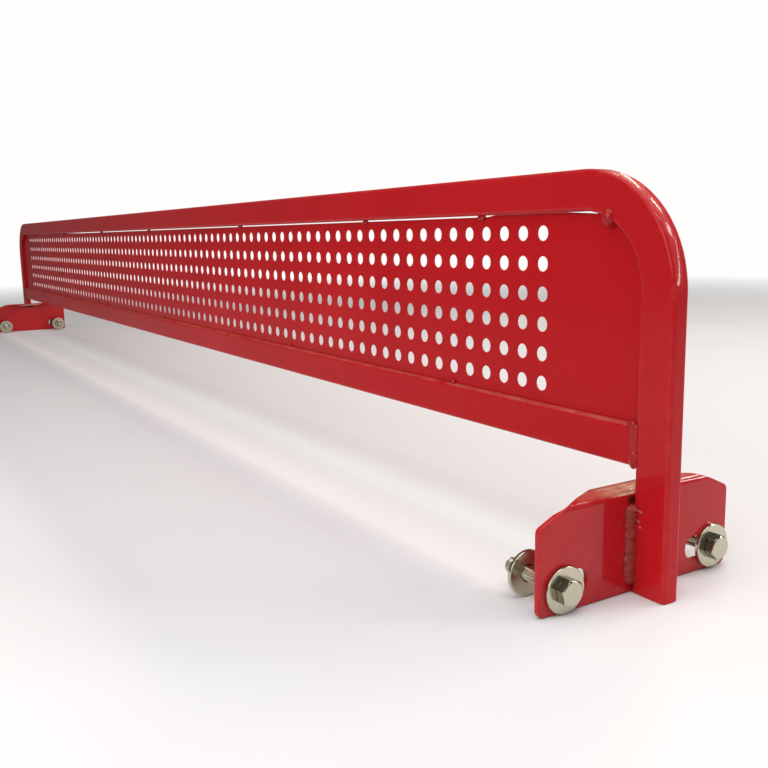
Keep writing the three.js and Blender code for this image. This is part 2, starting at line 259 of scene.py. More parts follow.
class Nodes:
    """A material's node tree, with short calls for the nodes used here."""

    def __init__(self, name):
        self.material = bpy.data.materials.new(name)
        self.material.use_nodes = True
        self.tree = self.material.node_tree
        self.shader = self.tree.nodes["Principled BSDF"]
        self.place = self.add("ShaderNodeTexCoord").outputs["Object"]

    def add(self, kind, **settings):
        node = self.tree.nodes.new(kind)
        for key, value in settings.items():
            setattr(node, key, value)
        return node

    def link(self, source, target):
        self.tree.links.new(source, target)

    def noise(self, scale, detail=2, roughness=0.5, stretch=None):
        node = self.add("ShaderNodeTexNoise")
        node.inputs["Scale"].default_value = scale
        node.inputs["Detail"].default_value = detail
        node.inputs["Roughness"].default_value = roughness
        self.link(self.stretched(stretch) if stretch else self.place, node.inputs["Vector"])
        return node.outputs["Fac"]

    def axes(self, vector):
        node = self.add("ShaderNodeSeparateXYZ")
        self.link(vector, node.inputs["Vector"])
        return list(node.outputs)

    def stretched(self, scale):
        node = self.add("ShaderNodeMapping")
        node.inputs["Scale"].default_value = scale
        self.link(self.place, node.inputs["Vector"])
        return node.outputs["Vector"]

    def ramp(self, value, low, high, to_low=0.0, to_high=1.0):
        """Value from low..high to to_low..to_high, held at both ends."""
        node = self.add("ShaderNodeMapRange")
        settings = (low, high, to_low, to_high)
        for key, number in zip(("From Min", "From Max", "To Min", "To Max"), settings):
            node.inputs[key].default_value = number
        self.link(value, node.inputs["Value"])
        return node.outputs["Result"]

    def maths(self, operation, a, b):
        node = self.add("ShaderNodeMath", operation=operation)
        for socket, value in zip(node.inputs, (a, b)):
            if isinstance(value, (int, float)):
                socket.default_value = value
            else:
                self.link(value, socket)
        return node.outputs["Value"]

    def mix(self, share, a, b):
        """Colour a turning into colour b by share."""
        node = self.add("ShaderNodeMix", data_type="RGBA")
        sockets = {s.identifier: s for s in (*node.inputs, *node.outputs)}
        self.link(share, sockets["Factor_Float"])
        for socket, value in ((sockets["A_Color"], a), (sockets["B_Color"], b)):
            if isinstance(value, tuple):
                socket.default_value = (*value, 1)
            else:
                self.link(value, socket)
        return sockets["Result_Color"]

    def bump(self, height, distance, strength=1.0, below=None):
        node = self.add("ShaderNodeBump")
        node.inputs["Strength"].default_value = strength
        node.inputs["Distance"].default_value = distance
        self.link(height, node.inputs["Height"])
        if below is not None:
            self.link(below, node.inputs["Normal"])
        return node.outputs["Normal"]

    def edge(self):
        return self.add("ShaderNodeAttribute", attribute_name="edge").outputs["Fac"]

    def set(self, **values):
        """Constants or links for the shader's sockets, by name with _ for a space."""
        for key, value in values.items():
            socket = self.shader.inputs[key.replace("_", " ")]
            if isinstance(value, (int, float)):
                socket.default_value = value
            elif isinstance(value, tuple):
                socket.default_value = (*value, 1)
            else:
                self.link(value, socket)


RED = (0.49, 0.0105, 0.014)
RED_DEEP = (0.42, 0.0075, 0.011)
RED_WORN = (0.58, 0.07, 0.055)
BARE_PRIMER = (0.58, 0.3, 0.19)
BARE_STEEL = (0.7, 0.56, 0.4)
# Near black, for soot on the welds and for painted shade in the hollows over the post welds.
SOOT_AND_SHADE = (0.035, 0.012, 0.01)
BURNT = (0.24, 0.035, 0.026)
PALE_SPATTER = (0.56, 0.17, 0.12)
# Light brown, for dirt on top faces and a painted highlight along the top of the bottom rail.
DUST_AND_HIGHLIGHT = (0.5, 0.2, 0.13)


def painted(name, coat, peel=0.00004, drawn=False, burnt=False, scuffed_with_pit_shade=False, dull=0.0):
    """Glossy red powder coat with orange peel, uneven depth of colour, dusty tops and worn edges,
    plus a painted highlight along the bottom rail's top and painted shade over the post welds.
    """
    n = Nodes(name)
    colour = n.mix(n.ramp(n.noise(7, 3, 0.5), 0.3, 0.7), RED_DEEP, RED)
    speckle = n.ramp(n.noise(900, 3, 0.7), 0.66, 0.74, 0, 0.25)
    colour = n.mix(speckle, colour, RED_WORN)
    worn = n.maths("MULTIPLY", n.edge(), n.ramp(n.noise(160, 5, 0.7), 0.48, 0.6))
    colour = n.mix(n.maths("MULTIPLY", worn, 0.45), colour, RED_WORN)
    upward = n.axes(n.add("ShaderNodeNewGeometry").outputs["Normal"])[2]
    dust_and_highlight = n.maths("MULTIPLY", n.ramp(upward, 0.3, 1.0), n.ramp(n.noise(60, 5, 0.7), 0.35, 0.7))
    # painted highlight: the lighter line along the top of the bottom rail, mixed in with the dirt
    # on top faces.
    dust_and_highlight = n.maths("MULTIPLY", dust_and_highlight, n.maths("ADD", 0.16, ledge_dust_and_highlight(n)))
    colour = n.mix(dust_and_highlight, colour, DUST_AND_HIGHLIGHT)
    roughness = n.ramp(n.noise(11, 3, 0.5), 0.3, 0.7, 0.27, 0.33)
    roughness = n.maths("ADD", roughness, n.maths("MULTIPLY", dust_and_highlight, 0.6))
    gloss = coat
    if dull:
        colour = n.mix(n.ramp(n.noise(200, 3, 0.6), 0.3, 0.7, dull * 0.6, dull), colour, SOOT_AND_SHADE)
    if scuffed_with_pit_shade:
        rubbed = rubbed_flange(n, upward)
        colour = n.mix(rubbed, colour, BARE_PRIMER)
        colour = n.mix(n.maths("MULTIPLY", rubbed, flecks(n)), colour, SOOT_AND_SHADE)
        colour = n.mix(bare_line(n), colour, BARE_STEEL)
        # painted shade: the hollow over each post weld is darkened almost to black.
        colour = n.mix(painted_pit_shade(n), colour, SOOT_AND_SHADE)
        roughness = n.maths("ADD", roughness, n.maths("MULTIPLY", rubbed, 0.25))
        kept = n.maths("SUBTRACT", 1.0, n.maths("MULTIPLY", rubbed, 0.85))
        gloss = n.maths("MULTIPLY", kept, coat)
    if burnt:
        scorch = n.ramp(n.noise(110, 3, 0.6), 0.35, 0.65, 0.6, 1.0)
        colour = n.mix(scorch, colour, BURNT)
        colour = n.mix(n.ramp(n.noise(300, 3, 0.7), 0.6, 0.7, 0, 0.5), colour, RED_WORN)
        colour = n.mix(n.ramp(n.noise(300, 4, 0.7), 0.36, 0.26, 0, 0.9), colour, SOOT_AND_SHADE)
        colour = n.mix(spatter(n), colour, PALE_SPATTER)
        roughness = n.maths("ADD", roughness, n.maths("MULTIPLY", scorch, 0.2))
    wave = n.bump(n.noise(30, 1, 0.4, stretch=(0.4, 1, 1)), 0.0006, 0.3)
    if drawn:
        wave = n.bump(n.noise(260, 2, 0.5, stretch=(0.03, 1, 0.03)), 0.0004, 0.7, wave)
    surface = n.bump(n.noise(520, 2, 0.5), peel, 1.0, wave)
    n.set(Base_Color=colour, Roughness=roughness, Normal=surface)
    n.set(Specular_IOR_Level=0.06, Coat_Weight=gloss, Coat_Roughness=0.05, Coat_IOR=1.5)
    return n.material


def spatter(n):
    """The outermost drops beside the beads, thrown onto the posts' faces."""
    across = n.maths("ABSOLUTE", n.axes(n.place)[0], 0)
    return n.ramp(across, POST_INNER_X + 3.2 * MM, POST_INNER_X + 3.9 * MM, 0, 0.55)


def ledge_dust_and_highlight(n):
    """Top of the bottom rail, along the foot of the panel: dirt together with a painted highlight
    on the rail's top edge.
    """
    height = n.axes(n.place)[2]
    low = n.ramp(height, RAIL_HIGH.z - 1.6 * MM, RAIL_HIGH.z - 0.4 * MM)
    high = n.ramp(height, RAIL_HIGH.z + 0.6 * MM, RAIL_HIGH.z + 1.6 * MM, 1, 0)
    return n.maths("MULTIPLY", n.maths("MULTIPLY", low, high), 0.6)


def beside_post(n, near, far):
    """1 close to a post along the table, falling to 0 between near and far, at both ends."""
    spot = n.maths("ABSOLUTE", n.axes(n.place)[1], 0)
    return n.ramp(spot, near, far, 1, 0)


def rubbed_flange(n, upward):
    """Paint rubbed and burnt down to the primer on top of the brackets' flanges."""
    top = n.ramp(upward, 0.45, 0.85)
    ragged = n.ramp(n.noise(110, 6, 0.75, stretch=(1, 0.6, 1)), 0.4, 0.56)
    wide = n.maths("MULTIPLY", beside_post(n, 14 * MM, 40 * MM), ragged)
    close = beside_post(n, 18 * MM, 28 * MM)
    close = n.maths("MULTIPLY", close, n.ramp(n.noise(150, 5, 0.7), 0.3, 0.45, 0.4, 0.95))
    across = n.maths("ABSOLUTE", n.axes(n.place)[0], 0)
    kept = n.ramp(across, PLATE_LOW.x + 1.2 * MM, PLATE_LOW.x + 3.4 * MM)
    return n.maths("MULTIPLY", n.maths("MULTIPLY", top, kept), n.maths("MAXIMUM", wide, close))


def flecks(n):
    """Sparse dark flecks of burnt paint."""
    return n.ramp(n.noise(330, 2, 0.5), 0.7, 0.76, 0, 0.85)


def bare_line(n):
    """Thin line of bare steel along the bend beside the post."""
    height = n.axes(n.place)[2]
    off = n.maths("ABSOLUTE", n.maths("SUBTRACT", height, 0.6 * MM), 0)
    line = n.ramp(off, 0.25 * MM, 0.6 * MM, 1, 0)
    line = n.maths("MULTIPLY", line, beside_post(n, 11 * MM, 20 * MM))
    return n.maths("MULTIPLY", line, n.ramp(n.noise(240, 4, 0.7), 0.34, 0.5, 0.1, 0.9))


def painted_pit_shade(n):
    """Painted shade in the hollow over the top of each post weld, where the bend leaves the post.

    It goes by height and distance from the post alone, so it shows on the plate's inner face too.
    """
    height = n.axes(n.place)[2]
    off = n.maths("ABSOLUTE", n.maths("SUBTRACT", height, -2.6 * MM), 0)
    deep = n.ramp(off, 1 * MM, 2.4 * MM, 1, 0)
    return n.maths("MULTIPLY", deep, beside_post(n, 7 * MM, 9.5 * MM))


ZINC = (0.56, 0.54, 0.42)
ZINC_DULL = (0.42, 0.395, 0.32)
# Dark zinc, for dark spots and for painted shade on the hexagons' side faces.
ZINC_DARK_AND_SHADE = (0.2, 0.175, 0.14)

FLOOR_PALE = (0.71, 0.71, 0.71)
FLOOR_DEEP = (0.68, 0.68, 0.69)
FLOOR_FADE = (1.1, 2.6)  # distances from the middle where the floor starts and ends fading out


def zinc_plated(name, rings=False, painted_shade_sides=False):
    """Bright zinc plate, slightly yellow, with dull clouds, fine scratches, polished edges and, if
    asked, painted shade on hexagon side faces.
    """
    n = Nodes(name)
    colour = n.mix(n.ramp(n.noise(260, 5, 0.65), 0.42, 0.7, 0, 0.25), ZINC, ZINC_DULL)
    spots = n.ramp(n.noise(1500, 3, 0.6), 0.68, 0.76, 0, 0.5)
    colour = n.mix(spots, colour, ZINC_DARK_AND_SHADE)
    roughness = n.ramp(n.noise(380, 4, 0.6), 0.3, 0.7, 0.14, 0.24)
    roughness = n.maths("ADD", roughness, n.maths("MULTIPLY", n.edge(), -0.06))
    if painted_shade_sides:
        # painted shade: the hexagon's side faces, across the bolt's axis, are darkened to stand in
        # for the dark surroundings they reflect.
        facing = n.axes(n.add("ShaderNodeTexCoord").outputs["Normal"])[0]
        side = n.ramp(n.maths("ABSOLUTE", facing, 0), 0.05, 0.35, 0.62, 0)
        colour = n.mix(side, colour, ZINC_DARK_AND_SHADE)
    surface = n.bump(n.noise(900, 2, 0.6, stretch=(1, 0.12, 1.6)), 0.00001, 0.5)
    surface = n.bump(n.noise(240, 3, 0.6), 0.00003, 0.5, surface)
    if rings:
        turned = n.add("ShaderNodeTexWave", wave_type="RINGS", rings_direction="X")
        turned.inputs["Scale"].default_value = 900
        turned.inputs["Distortion"].default_value = 1.5
        n.link(n.place, turned.inputs["Vector"])
        surface = n.bump(turned.outputs["Fac"], 0.000004, 0.4, surface)
    n.set(Base_Color=colour, Roughness=roughness, Normal=surface, Metallic=1.0)
    return n.material


def floor_material():
    """Pale matt studio floor, which fades out at a distance."""
    n = Nodes("studio_floor")
    colour = n.mix(n.noise(3, 3, 0.5), FLOOR_DEEP, FLOOR_PALE)
    x, y = n.axes(n.place)[:2]
    away = n.maths("ADD", n.maths("MULTIPLY", x, x), n.maths("MULTIPLY", y, y))
    n.set(Alpha=n.ramp(n.maths("SQRT", away, 0), *FLOOR_FADE, 1, 0))
    n.set(Base_Color=colour, Roughness=n.ramp(n.noise(8), 0.3, 0.7, 0.7, 0.85))
    n.set(Normal=n.bump(n.noise(500, 3), 0.0002, 0.2))
    return n.material


# ---- tubes ----

def tube_section(inset, corner):
    """Points (across, y) round the tube's section. Across is in the plane of the net."""
    half_width, half_depth = TUBE_WIDTH / 2 - inset, TUBE_DEPTH / 2 - inset
    corners = [
        (half_width, -half_depth, corner),
        (half_width, half_depth, corner),
        (-half_width, half_depth, corner),
        (-half_width, -half_depth, corner),
    ]
    outline = rounded_outline(corners, 0, TUBE_CORNER_STEPS)
    return with_flats(outline, TUBE_CORNER_STEPS, TUBE_FLAT_STEPS)


def tube_sections():
    """The section of the tube's outside and that of its bore."""
    bore = tube_section(TUBE_WALL, TUBE_CORNER - TUBE_WALL)
    return tube_section(0, TUBE_CORNER), bore


def frame_stations():
    """The frame's centre line up the right post, round both bends and down the left post."""
    middle_radius = BEND_RADIUS - TUBE_WIDTH / 2
    middle_x = FRAME_HIGH.x - TUBE_WIDTH / 2
    post_steps, bend_steps, rail_steps = 12, 48, 60
    right = []
    for i in range(post_steps):
        z = FRAME_LOW.z + (BEND_Z - FRAME_LOW.z) * i / post_steps
        right.append((middle_x, z, 0.0))
        if i == 0:
            right.append((middle_x, z + NEAR_END, 0.0))
    for angle in arc_steps(0, math.pi / 2, bend_steps):
        x = BEND_X + middle_radius * math.cos(angle)
        right.append((x, BEND_Z + middle_radius * math.sin(angle), angle))
    left = [(-x, z, math.pi - angle) for x, z, angle in reversed(right)]
    top_z = BEND_Z + middle_radius
    top = [
        (BEND_X * (1 - 2 * i / rail_steps), top_z, math.pi / 2) for i in range(1, rail_steps)
    ]
    return right + top + left


def bend_share(angle):
    """How far into a bend a station is: 0 on the straights, 1 in the middle of the bend."""
    turned = min(angle, math.pi - angle)
    return math.sin(2 * turned) ** 0.7 if 0 < turned < math.pi / 2 else 0.0


def sunk(across, y, share, inset):
    """The outside of a bent tube sinks a little, and the inside wall folds in on itself."""
    wall = TUBE_WIDTH / 2 - inset - 0.01 * MM
    flat = (TUBE_DEPTH / 2 - inset) * BEND_FLAT_SHARE
    hollow = max(0.0, 1 - (y / flat) ** 2)
    if across > wall:
        return across - BEND_SINK * share * hollow
    if across < -wall:
        return across + BEND_FOLD * share * hollow
    return across


def frame_ring(station, section, inset):
    x, z, angle = station
    share = bend_share(angle)
    points = []
    for across, y in section:
        reach = sunk(across, y, share, inset)
        points.append((x + reach * math.cos(angle), y, z + reach * math.sin(angle)))
    return points


def hollow_tube(rings_outside, rings_inside):
    """A tube with a wall, open at both ends, with its cut edges eased."""
    bm = bmesh.new()
    outside = [add_ring(bm, ring) for ring in rings_outside]
    inside = [add_ring(bm, ring) for ring in rings_inside]
    bridge(bm, outside)
    bridge(bm, inside)
    bridge(bm, [outside[0], inside[0]])
    bridge(bm, [outside[-1], inside[-1]])
    rims = []
    for ring in (outside[0], outside[-1], inside[0], inside[-1]):
        rims += ring_edges(bm, ring)
    bmesh.ops.bevel(bm, geom=rims, offset=CUT_EASE, segments=2, affect="EDGES", profile=0.5)
    return bm


def net_frame(paint):
    outer, inner = tube_sections()
    stations = frame_stations()
    bm = hollow_tube(
        [frame_ring(s, outer, 0) for s in stations],
        [frame_ring(s, inner, TUBE_WALL) for s in stations],
    )
    make_piece("painted_net_frame", bm, paint, "frame", ["net_frame"])


def bottom_rail(paint):
    """Square-ended tube. Its ends run up to the posts, where the weld beads cover the joint."""
    outer, inner = tube_sections()
    middle = (RAIL_LOW.z + RAIL_HIGH.z) / 2
    length_steps = 40

    def rings(section):
        places = [POST_INNER_X * (1 - 2 * i / length_steps) for i in range(length_steps + 1)]
        places.insert(1, POST_INNER_X - NEAR_END)
        places.insert(-1, NEAR_END - POST_INNER_X)
        return [[(x, y, middle + across) for across, y in section] for x in places]

    bm = hollow_tube(rings(outer), rings(inner))
    make_piece("painted_bottom_rail", bm, paint, "frame", ["bottom_rail"])


# ---- perforated panel ----

class Sheet:
    """Two faces of a thin upright sheet, whose vertices are shared by place."""

    def __init__(self, thickness):
        self.bm = bmesh.new()
        self.half = thickness / 2
        self.made = {}

    def vertex(self, side, x, z, rise=0.0):
        """Vertex on the front (-1) or back (1) face, or rise nearer to the sheet's middle."""
        y = side * (self.half - rise)
        key = tuple(round(value / MM, 4) for value in (x, y, z))
        if key not in self.made:
            self.made[key] = self.bm.verts.new((x, y, z))
        return self.made[key]

    def close_rim(self):
        """Joins the open outline of the front face to that of the back face."""
        open_edges = [e for e in self.bm.edges if e.is_boundary and e.verts[0].co.y < 0]
        for edge in open_edges:
            a, b = edge.verts
            back = [self.vertex(1, v.co.x, v.co.z) for v in (b, a)]
            self.bm.faces.new((a, b, *back))


def cell_outline(cx, cz, steps):
    """Points on a square cell's edge, one on each ray from its middle."""
    points = []
    for k in range(steps):
        angle = 2 * math.pi * k / steps
        c, s = math.cos(angle), math.sin(angle)
        reach = HOLE_PITCH / 2 / max(abs(c), abs(s))
        points.append((cx + reach * c, cz + reach * s))
    return points


def add_hole(sheet, cx, cz):
    """A square cell of both faces with a punched hole: eased edges and the wall between them."""
    turns = [2 * math.pi * k / HOLE_STEPS for k in range(HOLE_STEPS)]

    def circle(side, radius, rise):
        return [
            sheet.vertex(side, cx + radius * math.cos(a), cz + radius * math.sin(a), rise)
            for a in turns
        ]

    rings = []
    for side in (-1, 1):
        cell = [sheet.vertex(side, x, z) for x, z in cell_outline(cx, cz, HOLE_STEPS)]
        wide = circle(side, HOLE_RADIUS + HOLE_EASE, 0)
        narrow = circle(side, HOLE_RADIUS, HOLE_EASE)
        rings.append([cell, wide, narrow])
    bridge(sheet.bm, rings[0] + rings[1][::-1])


def panel_top(x):
    """Height of the panel's top edge at a place along the net."""
    start, end = NEAR_STRETCH
    start_ramp, end_ramp = NEAR_STRETCH_RAMPS
    near = held((x - start) / start_ramp) * held((end - x) / end_ramp)
    far = held((FAR_STRETCH - x) / FAR_STRETCH_RAMP)
    return PANEL_HIGH.z + PANEL_TOP_RISE + PANEL_CLOSER * max(near, far)


def side_outline(sheet, side, end, bottom):
    """Outline of the panel's face from its lower corner up the post and round the bend."""
    radius = BEND_RADIUS - TUBE_WIDTH + 0.2 * MM
    top_angle = math.asin((PANEL_HIGH.z - BEND_Z) / radius)
    outline = [(BEND_X + radius, bottom)]
    for angle in arc_steps(0, top_angle, 16):
        outline.append((BEND_X + radius * math.cos(angle), BEND_Z + radius * math.sin(angle)))
    outline += [(x, panel_top(x)) for x in TOP_CORNER_STOPS]
    return [sheet.vertex(side, end * x, z) for x, z in outline]


def perforated_panel(paint):
    sheet = Sheet(PANEL_HIGH.y - PANEL_LOW.y)
    middle_z = (RAIL_HIGH.z + FRAME_HIGH.z - TUBE_WIDTH) / 2
    rows = [middle_z + (r - (HOLE_ROWS - 1) / 2) * HOLE_PITCH for r in range(HOLE_ROWS)]
    columns = [(c - (HOLE_COLUMNS - 1) / 2) * HOLE_PITCH for c in range(HOLE_COLUMNS)]
    for cx in columns:
        for cz in rows:
            add_hole(sheet, cx, cz)
    field_x = columns[-1] + HOLE_PITCH / 2
    field_low, field_high = rows[0] - HOLE_PITCH / 2, rows[-1] + HOLE_PITCH / 2
    bottom = PANEL_LOW.z - 0.3 * MM
    for side in (-1, 1):
        face_y = side * sheet.half
        level = [v for v in sheet.made.values() if abs(v.co.y - face_y) < SAME_PLACE]
        for z, edge in ((field_low, lambda x: bottom), (field_high, panel_top)):
            row = [v for v in level if abs(v.co.z - z) < SAME_LINE]
            row.sort(key=lambda v: v.co.x)
            for a, b in zip(row, row[1:]):
                far = [sheet.vertex(side, v.co.x, edge(v.co.x)) for v in (b, a)]
                sheet.bm.faces.new((a, b, *far))
        for end in (-1, 1):
            column = [v for v in level if abs(v.co.x - end * field_x) < SAME_LINE]
            column.sort(key=lambda v: -v.co.z)
            first = sheet.vertex(side, end * field_x, panel_top(end * field_x))
            last = sheet.vertex(side, end * field_x, bottom)
            outline = side_outline(sheet, side, end, bottom)
            sheet.bm.faces.new([first, *column, last, *outline])
    sheet.close_rim()
    wide = [f for f in sheet.bm.faces if len(f.verts) > 4]
    bmesh.ops.triangulate(sheet.bm, faces=wide)
    nodes = ["perforated_panel"]
    make_piece("painted_panel", sheet.bm, paint, "frame", nodes, worn=0)


# ---- clamp brackets ----

FLANGE_FLAT = PLATE_HIGH.x - PLATE_BEND - PLATE_LOW.x
BEND_LENGTH = PLATE_BEND * math.pi / 2
PLATE_RUN = FLANGE_FLAT + BEND_LENGTH + (PLATE_THICKNESS - PLATE_BEND) - PLATE_LOW.z


def folded(along, y, depth):
    """Place of a point of the flat strip, along its outside from the flange's edge, once bent."""
    if along <= FLANGE_FLAT:
        return Vector((PLATE_LOW.x + along, y, PLATE_THICKNESS - depth))
    middle = Vector((PLATE_HIGH.x - PLATE_BEND, y, PLATE_THICKNESS - PLATE_BEND))
    if along >= FLANGE_FLAT + BEND_LENGTH:
        down = along - FLANGE_FLAT - BEND_LENGTH
        return Vector((PLATE_HIGH.x - depth, y, middle.z - down))
    angle = math.pi / 2 - (along - FLANGE_FLAT) / PLATE_BEND
    out = Vector((math.cos(angle), 0, math.sin(angle)))
    return middle + out * (PLATE_BEND - depth)


def strip_corners():
    """Outline of the flat strip, as (along, y, corner radius)."""
    half = PLATE_HIGH.y
    soft, tip = 3 * MM, 3.5 * MM
    return [
        (0, -FLANGE_HALF_WIDTH, soft),
        (CHAMFER_RUN, -half, tip),
        (PLATE_RUN, -half, tip),
        (PLATE_RUN, half, tip),
        (CHAMFER_RUN, half, tip),
        (0, FLANGE_HALF_WIDTH, soft),
    ]


def slot_corners(side):
    centre = FLANGE_FLAT + BEND_LENGTH + (PLATE_THICKNESS - PLATE_BEND) - SLOT_Z
    radius = SLOT_HEIGHT / 2
    low, high = sorted((side * SLOT_INNER, side * SLOT_OUTER))
    return [
        (centre - radius, low, radius),
        (centre + radius, low, radius),
        (centre + radius, high, radius),
        (centre - radius, high, radius),
    ]


def bracket(name, end, paint):
    """Folded strip with a pair of slots. All its edges are rounded."""
    bm = bmesh.new()
    rounding = edge_profile(PLATE_EDGE, PLATE_THICKNESS, 4)
    rims = []
    for corners, sign, steps in (
        (strip_corners(), 1, 5),
        (slot_corners(-1), -1, 12),
        (slot_corners(1), -1, 12),
    ):
        rings = []
        for inset, depth in rounding:
            outline = rounded_outline(corners, sign * inset, steps)
            rings.append(add_ring(bm, [(u, v, -depth) for u, v in outline]))
        bridge(bm, rings)
        rims.append(rings)
    for face in (0, -1):
        edges = [e for rings in rims for e in ring_edges(bm, rings[face])]
        bmesh.ops.triangle_fill(bm, edges=edges, use_beauty=True)
    fold_steps = 14
    for along in arc_steps(FLANGE_FLAT, FLANGE_FLAT + BEND_LENGTH, fold_steps):
        everything = bm.verts[:] + bm.edges[:] + bm.faces[:]
        bmesh.ops.bisect_plane(bm, geom=everything, plane_co=(along, 0, 0), plane_no=(1, 0, 0))
    for vertex in bm.verts:
        vertex.co = folded(vertex.co.x, vertex.co.y, -vertex.co.z)
    if end < 0:
        bmesh.ops.rotate(bm, verts=bm.verts, matrix=Matrix.Rotation(math.pi, 3, "Z"))
    nodes = [f"clamp_plate_{name}"]
    make_piece(f"painted_bracket_{name}", bm, paint, "frame", nodes)


# ---- welds ----

def weld_metal(name, drops, paint, node, voxel=0.28 * MM, rough=0.12 * MM):
    """Overlapping drops of metal, each (middle, radii), run together into one rough bead."""
    blobs = bmesh.new()
    for middle, sizes in drops:
        matrix = Matrix.Translation(middle) @ Matrix.Diagonal((*sizes, 1))
        bmesh.ops.create_icosphere(blobs, subdivisions=3, radius=1, matrix=matrix)
    mesh = bpy.data.meshes.new("weld_drops")
    blobs.to_mesh(mesh)
    blobs.free()
    holder = bpy.data.objects.new("weld_drops", mesh)
    bpy.context.scene.collection.objects.link(holder)
    join = holder.modifiers.new("run_together", "REMESH")
    join.mode = "VOXEL"
    join.voxel_size = voxel
    ease = holder.modifiers.new("ease", "SMOOTH")
    ease.iterations = 2
    graph = bpy.context.evaluated_depsgraph_get()
    bm = bmesh.new()
    bm.from_object(holder, graph)
    bpy.data.objects.remove(holder)
    bpy.data.meshes.remove(mesh)
    bm.normal_update()
    lumps, grain = 520, 1500
    for vertex in bm.verts:
        wobble = noise.noise(vertex.co * lumps) + 0.4 * noise.noise(vertex.co * grain)
        vertex.co += vertex.normal * rough * wobble
    make_piece(name, bm, paint, "frame", [node], sharp=CRISP_WELD)


def post_weld(end_name, end, side_name, side, paint):
    """Broad upright fillet in the corner between a post and the bracket's face."""
    rng = random.Random(f"post {end_name} {side_name}")
    node = f"post_weld_{end_name}_{side_name}"
    low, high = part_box(node)
    corner = Vector((end * POST_INNER_X, side * TUBE_DEPTH / 2, 0))
    drops = []

    def add(out, along, z, sizes):
        place = corner + Vector((end * out, side * along, 0)) * MM
        place.z = z
        drops.append((place, Vector(sizes) * MM * rng.uniform(0.93, 1.07)))

    z = low.z + 1.6 * MM
    while z < high.z + 0.4 * MM:
        add(rng.uniform(0, 0.5), rng.uniform(0.5, 1.4), z, (2.6, 4.4, 3.0))
        z += rng.uniform(2.0, 3.0) * MM
    add(1.8, 1.6, high.z + 0.6 * MM, (2.1, 1.9, 1.7))
    for _ in range(2):
        add(-0.1, rng.uniform(5.5, 9), rng.uniform(low.z, high.z), (0.6, 0.8, 0.8))
    for _ in range(4):
        add(rng.uniform(3.2, 6), 0, rng.uniform(low.z, high.z), (0.8, 0.5, 0.8))
    weld_metal(f"bead_{node}", drops, paint, node, rough=0.1 * MM)


def rail_end_weld(end_name, end, side_name, side, paint):
    """Bead down the joint of the bottom rail and a post, with a lump at its top and its foot."""
    rng = random.Random(f"rail {end_name} {side_name}")
    node = f"rail_end_weld_{end_name}_{side_name}"
    middle = (RAIL_LOW.z + RAIL_HIGH.z) / 2
    drops = []

    def add(inwards, up, sizes):
        place = Vector((end * (POST_INNER_X - inwards * MM), side * TUBE_DEPTH / 2, 0))
        place.z = middle + up * MM
        drops.append((place, Vector(sizes) * MM * rng.uniform(0.92, 1.08)))

    for up in range(-8, 9, 2):
        add(0.6 + rng.uniform(0, 0.4), up, (2.4, 1.0, 2.8))
    add(2.0, 10.4, (2.4, 1.4, 1.7))
    add(3.8, 10.8, (2.2, 1.0, 1.0))
    add(1.2, -4.6, (2.0, 1.7, 3.2))
    add(0.9, -7.2, (2.0, 1.6, 2.4))
    weld_metal(f"bead_{node}", drops, paint, node, 0.22 * MM, 0.03 * MM)


def tack(node, paint, up):
    """Short tack in the corner between the panel and a rail: two or three run-together drops."""
    rng = random.Random(node)
    low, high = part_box(node)
    middle = (low + high) / 2
    face = -(PANEL_HIGH.y - PANEL_LOW.y) / 2
    edge = RAIL_HIGH.z if up else FRAME_HIGH.z - TUBE_WIDTH
    away = 1 if up else -1
    drops = []
    for _ in range(3):
        x = middle.x + rng.uniform(-1.6, 1.6) * MM
        y = face - rng.uniform(0.3, 1.1) * MM
        z = edge + away * rng.uniform(0.2, 1.4) * MM
        sizes = Vector((1.7, 1.3, 1.4)) * MM * rng.uniform(0.8, 1.25)
        drops.append((Vector((x, y, z)), sizes))
    if not up:
        across_gap = Vector((middle.x, -0.4 * MM, edge - 0.6 * MM))
        drops.append((across_gap, Vector((2.4, 1.1, 1.5)) * MM))
    weld_metal(f"bead_{node}", drops, paint, node, 0.2 * MM, 0.08 * MM)


def corner_weld(end_name, end, paint):
    """Round drop in front of the panel where its top edge runs into the bend."""
    node = f"corner_weld_{end_name}"
    low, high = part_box(node)
    middle = (low + high) / 2
    ball = Vector((middle.x + end * 1.4 * MM, -3.4 * MM, middle.z + 1.2 * MM))
    tail = ball + Vector((end * 3, 1.9, -1.5)) * MM
    foot = ball + Vector((-end * 2.6, 2.2, 1.4)) * MM
    drops = [
        (ball, Vector((4.0, 3.9, 4.6)) * MM),
        (tail, Vector((2.4, 1.7, 2.1)) * MM),
        (foot, Vector((2.4, 1.4, 1.5)) * MM),
    ]
    weld_metal(f"bead_{node}", drops, paint, node, 0.25 * MM, 0.04 * MM)


# ---- fasteners, each turned about its own X axis with x = 0 on the bracket's face ----

